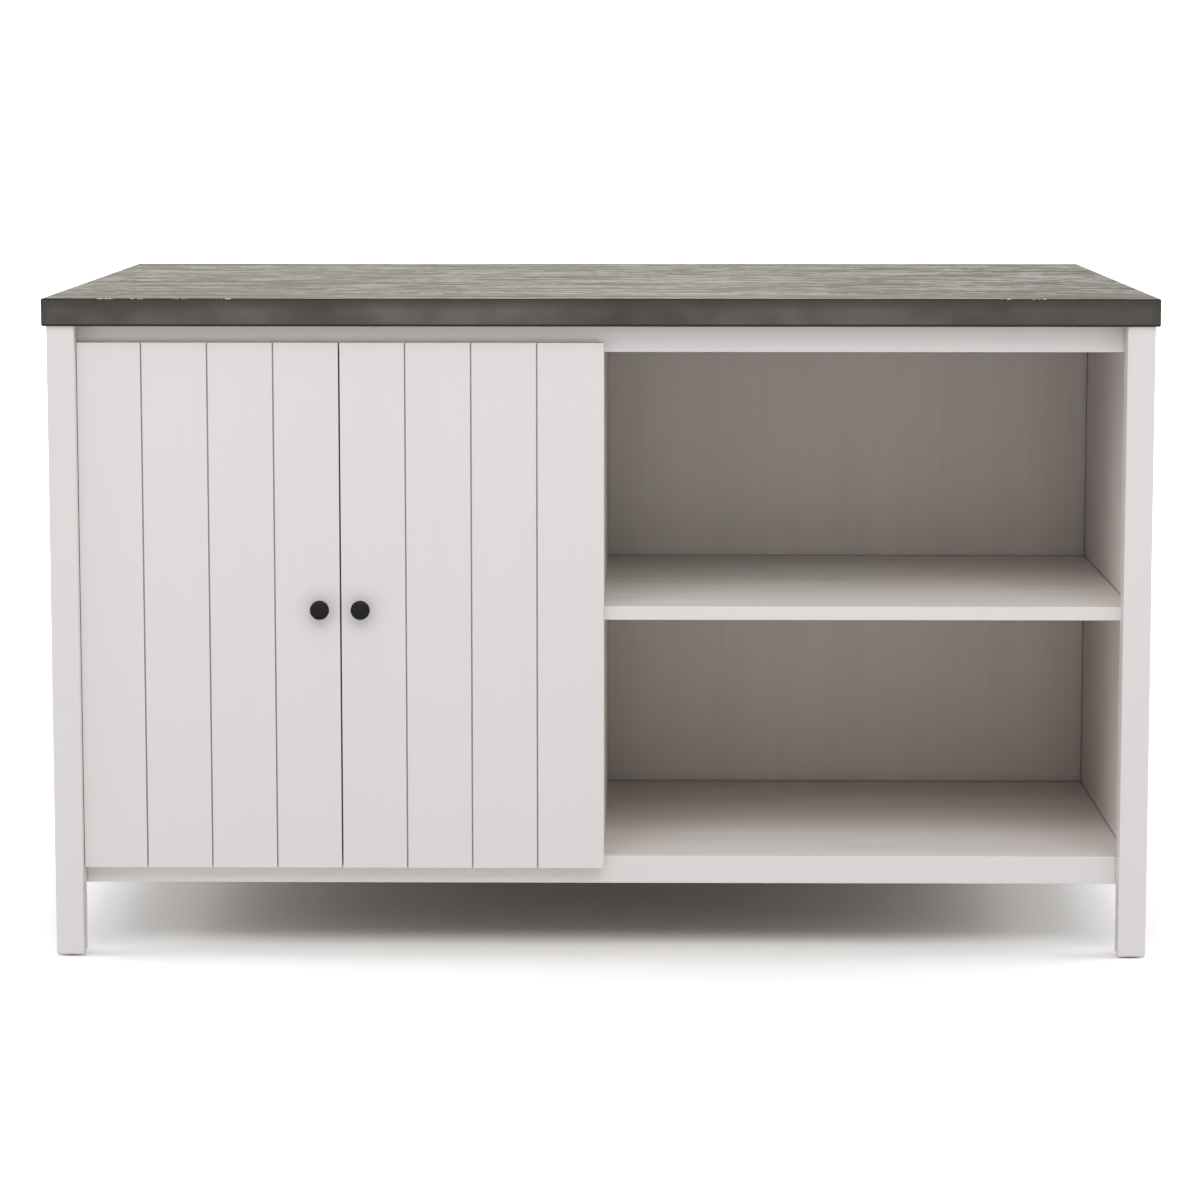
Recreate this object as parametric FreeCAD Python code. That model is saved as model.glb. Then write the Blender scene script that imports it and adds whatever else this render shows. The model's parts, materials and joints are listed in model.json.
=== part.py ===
import FreeCAD, Part
import math
import os

# Counter-height dining table with a storage base: a thick wooden top on a
# painted frame of square posts, a two-door cupboard and an open two-bay shelf
# at the front, and an open knee space with two rear posts at the back.
# Millimetres. +Z up, +X to the right seen from the front, the doors face -Y.
# Origin: on the floor, under the middle of the top.

V = FreeCAD.Vector

# ---------------------------------------------------------------- dimensions
TOP_W = 1524.0          # width of the top (X)
TOP_D = 1066.8          # depth of the top (Y)
HEIGHT = 914.4          # floor to the upper face of the top
TOP_T = 38.1            # thickness of the top
TOP_R = 2.5             # rounding of the top's edges
OVERHANG = 6.0          # top beyond the posts on every side

POST = 38.0             # square posts
POST_R = 1.5            # rounding of the posts' long edges
FOOT_CHAMFER = 2.5      # chamfer round the posts' feet
GLIDE_T = 2.0           # glide under each foot
GLIDE_R = 12.0

RAIL_T = 20.0           # thickness of rails and aprons
TOP_RAIL_Z = 839.2      # lower edge of the upper front rail
BASE_Z = 97.8           # lower edge of the carcase
FLOOR_Z = 136.3         # upper face of the carcase floor
APRON_H = 80.0          # height of the aprons round the knee space

EDGE_R = 1.2            # eased edges of rails, shelves and doors
KICK_Z = 6.0            # lower edge of the kick board
PANEL_T = 18.0          # side panels, divider, carcase floor, inner shelf
SIDE_IN = 735.0         # inner face of the side panels, from the middle
DIV_RIGHT = 5.0         # right face of the divider
BAY_DEPTH = 644.0       # front of posts to the front face of the back panel
BACK_T = 9.0            # back panel
SHELF_Z0, SHELF_Z1 = 468.3, 487.0     # fixed shelf of the open side

DOOR_T = 20.0           # doors
DOOR_GAP_BACK = 2.0     # doors to rails
DOOR_Z0, DOOR_Z1 = 122.8, 852.9
DOOR_GAP_POST = 0.9     # left door to left post
DOOR_MID = -358.1       # middle of the gap between the doors
DOOR_GAP = 2.4          # gap between the doors
DOOR_RIGHT = 4.6        # outer edge of the right door
DOOR_R = 0.9            # rounding of the doors' front and rear edges
DOOR_HEEL_R = 7.0       # rounding of the rear hinge edge, so that it turns clear of the rails
PLANK = 90.35           # pitch of the plank grooves
GROOVE_W, GROOVE_D = 2.6, 6.5   # narrow shadow grooves
GROOVE_V = 0.8          # depth of the groove's pointed bottom

PIVOT_IN = 12.0         # pivot axis from the door's hinge edge
PIVOT_BACK = 4.5        # pivot axis from the door's front face
PIN_R = 1.5
BUSH_BORE_R = 1.56
BUSH_R = 2.5
BUSH_FLANGE_R = 2.8
NOSE_T = 2.0            # thickness of the pivot brackets
NOSE_R = 2.6            # eye of a bracket's nose, round the pin
NOSE_ARM = (1.4, 4.2)   # arm of the nose, from the axis to the hinge edge and away from it
SLOT_IN = 4.0           # cover over the nose at the door's upper and lower edge
SLOT_GAP = 0.5          # air above and below the nose in its slot
SLOT_SIDE = 0.4         # air beside the nose
JOINT_V = 1.4           # eased edge that shows as a fine line where boards meet

KNOB_R = 13.25
KNOB_OUT = 21.0         # how far a knob stands off its door
KNOB_Z = 486.0
KNOB_IN = 28.0          # knob axis from the middle gap

# ---------------------------------------------------------------- derived
HW, HD = TOP_W / 2, TOP_D / 2
UNDER = HEIGHT - TOP_T                  # underside of the top
YF = -HD + OVERHANG                     # front face of the front posts
YR = HD - OVERHANG                      # rear face of the rear posts
XO = HW - OVERHANG                      # outer face of the posts
XI = XO - POST                          # inner face of the posts
Y_RAIL = YF + POST                      # front face of the front rails
Y_BACK0 = YF + BAY_DEPTH                # front face of the back panel
Y_BACK1 = Y_BACK0 + BACK_T
SIDE_OUT = SIDE_IN + PANEL_T
DIV_LEFT = DIV_RIGHT - PANEL_T
Y_DOOR0 = Y_RAIL - DOOR_GAP_BACK - DOOR_T
Y_DOOR1 = Y_DOOR0 + DOOR_T
L_DOOR = (-XI + DOOR_GAP_POST, DOOR_MID - DOOR_GAP / 2)
R_DOOR = (DOOR_MID + DOOR_GAP / 2, DOOR_RIGHT)
Y_AXIS = Y_DOOR0 + PIVOT_BACK
X_AXIS_L = L_DOOR[0] + PIVOT_IN
X_AXIS_R = R_DOOR[1] - PIVOT_IN
APRON_Z0 = UNDER - APRON_H


# ---------------------------------------------------------------- helpers
def box(x0, x1, y0, y1, z0, z1):
    return Part.makeBox(x1 - x0, y1 - y0, z1 - z0, V(x0, y0, z0))


def rod(p, d, r, h):
    return Part.makeCylinder(r, h, V(*p), V(*d))


def cone(p, d, r0, r1, h):
    return Part.makeCone(r0, r1, h, V(*p), V(*d))


def join(first, *rest):
    s = first
    for r in rest:
        s = s.fuse(r)
    return s.removeSplitter()


def less(s, *tools):
    for t in tools:
        s = s.cut(t)
    return s


def prism(points, z0, z1):
    pts = [V(x, y, z0) for x, y in points]
    face = Part.Face(Part.makePolygon(pts + pts[:1]))
    return face.extrude(V(0, 0, z1 - z0))


def eased(s, r, *wanted):
    """Round the straight edges whose ends all match one of the wanted planes' pairs.
    Each wanted pair is ((axis, value), (axis, value))."""
    pick = []
    for e in s.Edges:
        b = e.BoundBox
        span = {"x": (b.XMin, b.XMax), "y": (b.YMin, b.YMax), "z": (b.ZMin, b.ZMax)}
        for pair in wanted:
            if all(abs(span[a][0] - v) < 0.01 and abs(span[a][1] - v) < 0.01 for a, v in pair):
                pick.append(e)
                break
    return s.makeFillet(r, pick)


def solids_of(shape):
    return list(shape.Solids)


parts = {}


def put(name, *shapes):
    parts.setdefault(name, []).extend(shapes)


def seat(tool, *names):
    """Cut the seat of a fastener or fitting out of the named pieces."""
    for n in names:
        parts[n] = [p.cut(tool) for p in parts[n]]


def pan_screw(p, d, shank_r, length, head_r, head_h):
    """A pan-head screw. p is under the head, d points along the shank."""
    u = V(*d).normalize()
    base = V(*p)
    head = Part.makeCylinder(head_r, head_h, base, u.negative())
    s = head.fuse(Part.makeCylinder(shank_r, length, base, u))
    # cross recess in the head
    side = u.cross(V(0, 0, 1))
    if side.Length < 0.5:
        side = V(1, 0, 0)
    side.normalize()
    other = u.cross(side)
    outer = base - u * head_h
    w, l, dep = 0.9, head_r * 1.1, head_h * 0.55
    for a, b in ((side, other), (other, side)):
        c = outer - a * (l / 2) - b * (w / 2)
        wire = Part.makePolygon([c, c + a * l, c + a * l + b * w, c + b * w, c])
        s = s.cut(Part.Face(wire).extrude(u * dep))
    return s.removeSplitter()


def flat_screw(p, d, shank_r, length, head_r, head_h):
    """A countersunk screw. p is the middle of the head's flat face."""
    u = V(*d).normalize()
    base = V(*p)
    head = Part.makeCone(head_r, shank_r, head_h, base, u)
    s = head.fuse(Part.makeCylinder(shank_r, length, base, u))
    side = u.cross(V(0, 0, 1))
    if side.Length < 0.5:
        side = V(1, 0, 0)
    side.normalize()
    other = u.cross(side)
    w, l, dep = 0.7, head_r * 1.0, head_h * 0.5
    for a, b in ((side, other), (other, side)):
        c = base - a * (l / 2) - b * (w / 2)
        wire = Part.makePolygon([c, c + a * l, c + a * l + b * w, c + b * w, c])
        s = s.cut(Part.Face(wire).extrude(u * dep))
    return s.removeSplitter()


def flat_screw_hole(p, d, shank_r, length, head_r, head_h):
    u = V(*d).normalize()
    base = V(*p)
    return Part.makeCone(head_r, shank_r, head_h, base, u).fuse(
        Part.makeCylinder(shank_r, length, base, u))


def pan_screw_hole(p, d, shank_r, length):
    u = V(*d).normalize()
    return Part.makeCylinder(shank_r, length, V(*p), u)


def post(x0, y0):
    s = box(x0, x0 + POST, y0, y0 + POST, GLIDE_T, UNDER)
    long_edges = [e for e in s.Edges if abs(e.Vertexes[0].Z - e.Vertexes[1].Z) > 10]
    foot = [e for e in s.Edges if e.BoundBox.ZMax < GLIDE_T + 0.01]
    return s.makeFillet(POST_R, long_edges).common(s.makeChamfer(FOOT_CHAMFER, foot))


# ---------------------------------------------------------------- the top
top = box(-HW, HW, -HD, HD, UNDER, HEIGHT)
put("table_top", top.makeFillet(TOP_R, top.Edges))

# ---------------------------------------------------------------- posts and feet
put("front_left_leg", post(-XO, YF))
put("front_right_leg", post(XI, YF))
put("rear_left_leg", post(-XO, YR - POST))
put("rear_right_leg", post(XI, YR - POST))

FOOT_Y0 = Y_BACK0 - POST
for side, x0 in (("left", -SIDE_IN), ("right", SIDE_IN - POST)):
    f = box(x0, x0 + POST, FOOT_Y0, FOOT_Y0 + POST, GLIDE_T, FLOOR_Z - PANEL_T)
    foot = [e for e in f.Edges if e.BoundBox.ZMax < GLIDE_T + 0.01]
    long_edges = [e for e in f.Edges if abs(e.Vertexes[0].Z - e.Vertexes[1].Z) > 10]
    put(side + "_cabinet_foot", f.makeFillet(POST_R, long_edges).common(f.makeChamfer(FOOT_CHAMFER, foot)))

GLIDES = [
    (-XO + POST / 2, YF + POST / 2, "front_left_leg"),
    (XO - POST / 2, YF + POST / 2, "front_right_leg"),
    (-XO + POST / 2, YR - POST / 2, "rear_left_leg"),
    (XO - POST / 2, YR - POST / 2, "rear_right_leg"),
    (-SIDE_IN + POST / 2, FOOT_Y0 + POST / 2, "left_cabinet_foot"),
    (SIDE_IN - POST / 2, FOOT_Y0 + POST / 2, "right_cabinet_foot"),
]
for x, y, owner in GLIDES:
    disc = rod((x, y, 0), (0, 0, 1), GLIDE_R, GLIDE_T)
    rim = [e for e in disc.Edges if e.BoundBox.ZMax < 0.01]
    disc = disc.makeChamfer(0.6, rim)
    nail = rod((x, y, GLIDE_T - 0.5), (0, 0, 1), 1.6, 15.5)
    put("foot_glides", join(disc, nail))
    seat(rod((x, y, GLIDE_T), (0, 0, 1), 1.6, 15.0), owner)

# ---------------------------------------------------------------- carcase
put("front_top_rail", eased(
    box(-SIDE_IN, SIDE_IN, Y_RAIL, Y_RAIL + RAIL_T, TOP_RAIL_Z, UNDER), EDGE_R,
    (("y", Y_RAIL), ("z", TOP_RAIL_Z)), (("y", Y_RAIL + RAIL_T), ("z", TOP_RAIL_Z))))
put("front_bottom_rail", eased(
    box(-SIDE_IN, SIDE_IN, Y_RAIL, Y_RAIL + RAIL_T, BASE_Z, FLOOR_Z), EDGE_R,
    (("y", Y_RAIL), ("z", BASE_Z)), (("y", Y_RAIL), ("z", FLOOR_Z)), (("y", Y_RAIL + RAIL_T), ("z", BASE_Z))))
put("cabinet_rear_rail", eased(
    box(-SIDE_IN, SIDE_IN, Y_BACK0 - RAIL_T, Y_BACK0, TOP_RAIL_Z, UNDER), EDGE_R,
    (("y", Y_BACK0 - RAIL_T), ("z", TOP_RAIL_Z))))
put("left_side_panel", eased(
    box(-SIDE_OUT, -SIDE_IN, Y_RAIL, Y_BACK1, BASE_Z, UNDER), EDGE_R,
    (("x", -SIDE_OUT), ("z", BASE_Z)), (("x", -SIDE_IN), ("z", BASE_Z)), (("x", -SIDE_IN), ("y", Y_BACK1))))
put("right_side_panel", eased(
    box(SIDE_IN, SIDE_OUT, Y_RAIL, Y_BACK1, BASE_Z, UNDER), EDGE_R,
    (("x", SIDE_OUT), ("z", BASE_Z)), (("x", SIDE_IN), ("z", BASE_Z)), (("x", SIDE_IN), ("y", Y_BACK1))))
put("bottom_panel", eased(
    box(-SIDE_IN, SIDE_IN, Y_RAIL + RAIL_T, Y_BACK0, FLOOR_Z - PANEL_T, FLOOR_Z), JOINT_V,
    (("y", Y_BACK0), ("z", FLOOR_Z))))
put("back_panel", eased(
    box(-SIDE_IN, SIDE_IN, Y_BACK0, Y_BACK1, BASE_Z, UNDER), JOINT_V,
    (("x", -SIDE_IN), ("y", Y_BACK0)), (("x", SIDE_IN), ("y", Y_BACK0))))
divider = box(DIV_LEFT, DIV_RIGHT, Y_RAIL, Y_BACK0, FLOOR_Z, UNDER)
divider = less(
    divider,
    box(DIV_LEFT - 1, DIV_RIGHT + 1, Y_RAIL - 1, Y_RAIL + RAIL_T, TOP_RAIL_Z, UNDER + 1),
    box(DIV_LEFT - 1, DIV_RIGHT + 1, Y_BACK0 - RAIL_T, Y_BACK0 + 1, TOP_RAIL_Z, UNDER + 1),
)
put("centre_divider", eased(divider, EDGE_R, (("x", DIV_LEFT), ("y", Y_RAIL)), (("x", DIV_RIGHT), ("y", Y_RAIL))))
put("right_fixed_shelf", eased(
    box(DIV_RIGHT, SIDE_IN, Y_RAIL, Y_BACK0, SHELF_Z0, SHELF_Z1), EDGE_R,
    (("y", Y_RAIL), ("z", SHELF_Z0)), (("y", Y_RAIL), ("z", SHELF_Z1)), (("y", Y_BACK0), ("z", SHELF_Z1))))
put("left_adjustable_shelf", eased(
    box(-SIDE_IN + 1, DIV_LEFT - 1, YF + 75, Y_BACK0 - 4, SHELF_Z0, SHELF_Z0 + PANEL_T), EDGE_R,
    (("y", YF + 75), ("z", SHELF_Z0)), (("y", YF + 75), ("z", SHELF_Z0 + PANEL_T))))

# kick board under the rear edge of the cupboard, between the short feet
X_KICK = SIDE_IN - POST
put("cabinet_kick_board", eased(
    box(-X_KICK, X_KICK, Y_BACK0 - PANEL_T, Y_BACK0, KICK_Z, FLOOR_Z - PANEL_T), EDGE_R,
    (("y", Y_BACK0), ("z", KICK_Z)), (("y", Y_BACK0 - PANEL_T), ("z", KICK_Z))))

# ---------------------------------------------------------------- knee-space frame
put("rear_apron", eased(
    box(-XI, XI, YR - 3 - RAIL_T, YR - 3, APRON_Z0, UNDER), EDGE_R,
    (("y", YR - 3), ("z", APRON_Z0)), (("y", YR - 3 - RAIL_T), ("z", APRON_Z0))))
Y_RA = YR - 3 - RAIL_T                  # inner face of the rear apron
put("left_side_apron", eased(
    box(-SIDE_OUT, -SIDE_OUT + RAIL_T, Y_BACK1, YR - POST, APRON_Z0, UNDER), EDGE_R,
    (("x", -SIDE_OUT), ("z", APRON_Z0)), (("x", -SIDE_OUT + RAIL_T), ("z", APRON_Z0))))
put("right_side_apron", eased(
    box(SIDE_OUT - RAIL_T, SIDE_OUT, Y_BACK1, YR - POST, APRON_Z0, UNDER), EDGE_R,
    (("x", SIDE_OUT), ("z", APRON_Z0)), (("x", SIDE_OUT - RAIL_T), ("z", APRON_Z0))))
X_SA = SIDE_OUT - RAIL_T                # inner face of the side aprons

# diagonal corner blocks behind the rear posts, each pulled up by a bolt
S_OUT = XI + (YR - POST) - 64.4         # x + y on the block's outer face
S_IN = S_OUT - 31.0
BLOCK_Z0, BLOCK_Z1 = APRON_Z0 + 7, UNDER - 9
BOLT_Z = (BLOCK_Z0 + BLOCK_Z1) / 2
for side, sx in (("left", -1), ("right", 1)):
    outline = [(X_SA, S_OUT - X_SA), (S_OUT - Y_RA, Y_RA), (S_IN - Y_RA, Y_RA), (X_SA, S_IN - X_SA)]
    outline = [(sx * x, y) for x, y in outline]
    put("rear_%s_corner_block" % side, prism(outline, BLOCK_Z0, BLOCK_Z1))
    # bolt along the diagonal through the post's inner corner
    q = math.sqrt(0.5)
    d_in = V(-sx * q, -q, 0)            # out of the post, towards the middle
    corner = V(sx * XI, YR - POST, BOLT_Z)
    start = corner - d_in * 25.0
    face_in = corner + d_in * ((XI + (YR - POST) - S_IN) * q)
    length = (face_in - start).Length + 13.0
    bolt = Part.makeCylinder(3.0, length, start, d_in)
    put("hanger_bolts", bolt)
    seat(bolt, "rear_%s_leg" % side, "rear_%s_corner_block" % side)
    washer = Part.makeCylinder(9.0, 1.6, face_in, d_in).cut(bolt)
    t = V(0, 0, 1)
    w = d_in.cross(t)
    nut_at = face_in + d_in * 1.6
    hexa = []
    for k in range(7):
        a = math.radians(60 * k + 30)
        hexa.append(nut_at + t * (5.8 * math.cos(a)) + w * (5.8 * math.sin(a)))
    nut = Part.Face(Part.makePolygon(hexa)).extrude(d_in * 5.0).cut(bolt)
    put("hanger_nuts", washer, nut)

# ---------------------------------------------------------------- dowels
DOWEL_R = 4.0
for sx, side in ((-1, "left"), (1, "right")):
    xm = sx * (SIDE_IN + PANEL_T / 2)
    for z in (180.0, 490.0, 800.0):     # post to side panel
        d = rod((xm, Y_RAIL - 18, z), (0, 1, 0), DOWEL_R, 36)
        put("leg_dowels", d)
        seat(d, "front_%s_leg" % side, side + "_side_panel")
    for rail, y, zs in (("front_top_rail", Y_RAIL + RAIL_T / 2, (849.0, 868.0)),
                        ("front_bottom_rail", Y_RAIL + RAIL_T / 2, (108.0, 126.0)),
                        ("cabinet_rear_rail", Y_BACK0 - RAIL_T / 2, (849.0, 868.0))):
        for z in zs:                    # rail to side panel
            d = rod((sx * (SIDE_IN - 22), y, z), (sx, 0, 0), DOWEL_R, 34)
            put("rail_dowels", d)
            seat(d, rail, side + "_side_panel")
    for z in (APRON_Z0 + 20, APRON_Z0 + 60):
        d = rod((xm, Y_BACK1 - 18, z), (0, 1, 0), DOWEL_R, 36)
        put("apron_dowels", d)          # side apron to side panel
        seat(d, side + "_side_panel", side + "_side_apron")
        d = rod((sx * (SIDE_OUT - RAIL_T / 2), YR - POST - 18, z), (0, 1, 0), DOWEL_R, 36)
        put("apron_dowels", d)          # side apron to rear post
        seat(d, side + "_side_apron", "rear_%s_leg" % side)
        d = rod((sx * (XI - 18), YR - 3 - RAIL_T / 2, z), (sx, 0, 0), DOWEL_R, 36)
        put("apron_dowels", d)          # rear apron to rear post
        seat(d, "rear_apron", "rear_%s_leg" % side)
    d = rod((sx * (SIDE_IN - POST / 2), FOOT_Y0 + POST / 2, FLOOR_Z - PANEL_T - 14), (0, 0, 1), DOWEL_R, 26)
    put("panel_dowels", d)              # foot to carcase floor
    seat(d, side + "_cabinet_foot", "bottom_panel")
    for z in (40.0, 84.0):              # kick board to foot
        d = rod((sx * (X_KICK - 18), Y_BACK0 - PANEL_T / 2, z), (sx, 0, 0), DOWEL_R, 34)
        put("panel_dowels", d)
        seat(d, side + "_cabinet_foot", "cabinet_kick_board")
for y in (YF + 100, YF + 340, YF + 600):
    d = rod(((DIV_LEFT + DIV_RIGHT) / 2, y, FLOOR_Z - 12), (0, 0, 1), DOWEL_R, 28)
    put("panel_dowels", d)              # divider to carcase floor
    seat(d, "bottom_panel", "centre_divider")

# ---------------------------------------------------------------- cam fittings
CAM_R, CAM_H, CAM_IN = 7.5, 12.5, 34.0


def cam_joint(panel, upright, x_face, sx, y, z_under, thick):
    """Cam in the underside of a panel, its bolt in the upright's face.
    sx points from the panel into the upright."""
    z = z_under + thick / 2
    bolt = join(
        rod((x_face, y, z), (sx, 0, 0), 2.5, 11.0),
        rod((x_face, y, z), (-sx, 0, 0), 3.0, CAM_IN - 5.5),
        rod((x_face - sx * (CAM_IN - 5.5), y, z), (-sx, 0, 0), 2.0, 2.5),
        rod((x_face - sx * (CAM_IN - 3.0), y, z), (-sx, 0, 0), 3.2, 3.0),
    )
    cam = rod((x_face - sx * CAM_IN, y, z_under), (0, 0, 1), CAM_R, CAM_H)
    seat(cam, panel)
    seat(bolt, panel, upright)
    cam = cam.cut(bolt).cut(box(x_face - sx * CAM_IN - 4.5, x_face - sx * CAM_IN + 4.5,
                                y - 0.9, y + 0.9, z_under - 1, z_under + 2.2))
    put("cam_bolts", bolt)
    put("cam_locks", *solids_of(cam))


for y in (YF + 150, YF + 560):
    cam_joint("bottom_panel", "left_side_panel", -SIDE_IN, -1, y, FLOOR_Z - PANEL_T, PANEL_T)
    cam_joint("bottom_panel", "right_side_panel", SIDE_IN, 1, y, FLOOR_Z - PANEL_T, PANEL_T)
    cam_joint("right_fixed_shelf", "centre_divider", DIV_RIGHT, -1, y, SHELF_Z0, SHELF_Z1 - SHELF_Z0)
    cam_joint("right_fixed_shelf", "right_side_panel", SIDE_IN, 1, y, SHELF_Z0, SHELF_Z1 - SHELF_Z0)

# ---------------------------------------------------------------- inner shelf on pins
PIN_PEG_R = 2.5
for x_face, sx, owner in ((-SIDE_IN, 1, "left_side_panel"), (DIV_LEFT, -1, "centre_divider")):
    for y in (YF + 120, YF + 590):
        z = SHELF_Z0 - 4.0
        peg = rod((x_face, y, z), (-sx, 0, 0), PIN_PEG_R, 9.0)
        tongue = box(min(x_face, x_face + sx * 10), max(x_face, x_face + sx * 10),
                     y - 4, y + 4, SHELF_Z0 - 8.0, SHELF_Z0)
        put("shelf_pins", join(tongue, peg))
        seat(peg, owner)
        for dz in (-64.0, -32.0, 32.0, 64.0):   # spare peg holes
            seat(rod((x_face, y, z + dz), (-sx, 0, 0), PIN_PEG_R, 9.0), owner)

# ---------------------------------------------------------------- back panel screws
BACK_SCREWS = [(x, FLOOR_Z - PANEL_T / 2, "bottom_panel") for x in (-640.0, -330.0, 240.0, 640.0)]
BACK_SCREWS += [((DIV_LEFT + DIV_RIGHT) / 2, z, "centre_divider") for z in (300.0, 660.0)]
BACK_SCREWS += [(x, (SHELF_Z0 + SHELF_Z1) / 2, "right_fixed_shelf") for x in (240.0, 500.0)]
BACK_SCREWS += [(x, 858.0, "cabinet_rear_rail") for x in (-640.0, -330.0, 330.0, 640.0)]
for x, z, owner in BACK_SCREWS:
    put("back_panel_screws", flat_screw((x, Y_BACK1, z), (0, -1, 0), 1.75, 26.0, 3.6, 2.6))
    seat(flat_screw_hole((x, Y_BACK1, z), (0, -1, 0), 1.75, 26.0, 3.6, 2.6), "back_panel", owner)

# ---------------------------------------------------------------- brackets that hold the top
BR, BR_T, BR_W = 24.0, 2.0, 20.0


def top_bracket(x, y, nx, ny, owner):
    """Steel angle: upright leaf on a face at (x, y) whose normal is (nx, ny)."""
    tx, ty = abs(ny), abs(nx)           # along the face
    def blk(n0, n1, z0, z1):
        xs = sorted((x + nx * n0, x + nx * n1)) if nx else [x - BR_W / 2, x + BR_W / 2]
        ys = sorted((y + ny * n0, y + ny * n1)) if ny else [y - BR_W / 2, y + BR_W / 2]
        return box(xs[0], xs[1], ys[0], ys[1], z0, z1)
    b = join(blk(0, BR_T, UNDER - BR, UNDER), blk(0, BR, UNDER - BR_T, UNDER))
    p_side = (x + nx * BR_T, y + ny * BR_T, UNDER - 15.0)
    p_top = (x + nx * 14.0, y + ny * 14.0, UNDER - BR_T)
    side_hole = pan_screw_hole(p_side, (-nx, -ny, 0), 1.9, 14.0)
    top_hole = pan_screw_hole(p_top, (0, 0, 1), 1.9, 22.0)
    b = b.cut(side_hole).cut(top_hole)
    seat(side_hole, owner)
    seat(top_hole, "table_top")
    put("top_fixing_brackets", b)
    put("top_fixing_screws",
        pan_screw(p_side, (-nx, -ny, 0), 1.9, 14.0, 3.6, 2.2),
        pan_screw(p_top, (0, 0, 1), 1.9, 22.0, 3.6, 2.2))


for y in (YF + 200, YF + 450):
    top_bracket(-SIDE_IN, y, 1, 0, "left_side_panel")
    top_bracket(SIDE_IN, y, -1, 0, "right_side_panel")
top_bracket(DIV_LEFT, YF + 330, -1, 0, "centre_divider")
for x in (-480.0, 360.0):
    top_bracket(x, Y_RAIL + RAIL_T, 0, 1, "front_top_rail")
for x in (-400.0, 0.0, 400.0):
    top_bracket(x, Y_RA, 0, -1, "rear_apron")
top_bracket(-X_SA, 300.0, 1, 0, "left_side_apron")
top_bracket(X_SA, 300.0, -1, 0, "right_side_apron")


# ---------------------------------------------------------------- doors
def door(x0, x1, grooves, heel):
    d = box(x0, x1, Y_DOOR0, Y_DOOR1, DOOR_Z0, DOOR_Z1)
    front = [e for e in d.Edges if e.BoundBox.YMax < Y_DOOR0 + 0.01]
    d = d.makeFillet(DOOR_R, front)
    d = eased(d, DOOR_HEEL_R, (("x", heel), ("y", Y_DOOR1)))
    free = x1 if heel == x0 else x0
    d = eased(d, DOOR_R, (("x", free), ("y", Y_DOOR1)))
    for gx in grooves:
        w = GROOVE_W / 2
        cut = [(gx - w, Y_DOOR0 - 0.5), (gx + w, Y_DOOR0 - 0.5), (gx + w, Y_DOOR0 + GROOVE_D - GROOVE_V),
               (gx, Y_DOOR0 + GROOVE_D), (gx - w, Y_DOOR0 + GROOVE_D - GROOVE_V)]
        d = d.cut(prism(cut, DOOR_Z0 - 1, DOOR_Z1 + 1))
    return d


def knob(x):
    """Turned mushroom knob, profile as (radius, distance off the door)."""
    y0 = Y_DOOR0
    prof = [(0, 0), (7.5, 0), (7.5, 1.6), (6.0, 3.2), (5.2, 5.5), (5.2, 7.5)]
    pts = [V(x + r, y0 - h, KNOB_Z) for r, h in prof]
    e = [Part.LineSegment(pts[i], pts[i + 1]).toShape() for i in range(len(pts) - 1)]
    a = pts[-1]
    b = V(x + 8.6, y0 - 11.2, KNOB_Z)
    mid = V(x + 6.0, y0 - 10.2, KNOB_Z)
    e.append(Part.Arc(a, mid, b).toShape())
    c = V(x + KNOB_R - 1.4, y0 - 12.3, KNOB_Z)
    e.append(Part.LineSegment(b, c).toShape())
    d1 = V(x + KNOB_R, y0 - 13.9, KNOB_Z)
    e.append(Part.Arc(c, V(x + KNOB_R - 0.35, y0 - 12.8, KNOB_Z), d1).toShape())
    d2 = V(x + KNOB_R, y0 - 16.6, KNOB_Z)
    e.append(Part.LineSegment(d1, d2).toShape())
    d3 = V(x + KNOB_R - 2.0, y0 - 19.2, KNOB_Z)
    e.append(Part.Arc(d2, V(x + KNOB_R - 0.5, y0 - 18.2, KNOB_Z), d3).toShape())
    tip = V(x, y0 - KNOB_OUT, KNOB_Z)
    # spherical crown: its centre lies on the knob's axis
    r3, sag = KNOB_R - 2.0, KNOB_OUT - 19.2
    crown = (r3 * r3 + sag * sag) / (2 * sag)
    fall = crown - math.sqrt(crown * crown - 36.0)
    e.append(Part.Arc(d3, V(x + 6.0, y0 - KNOB_OUT + fall, KNOB_Z), tip).toShape())
    e.append(Part.LineSegment(tip, pts[0]).toShape())
    face = Part.Face(Part.Wire(e))
    return face.revolve(V(x, y0, KNOB_Z), V(0, 1, 0), 360)


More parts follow.
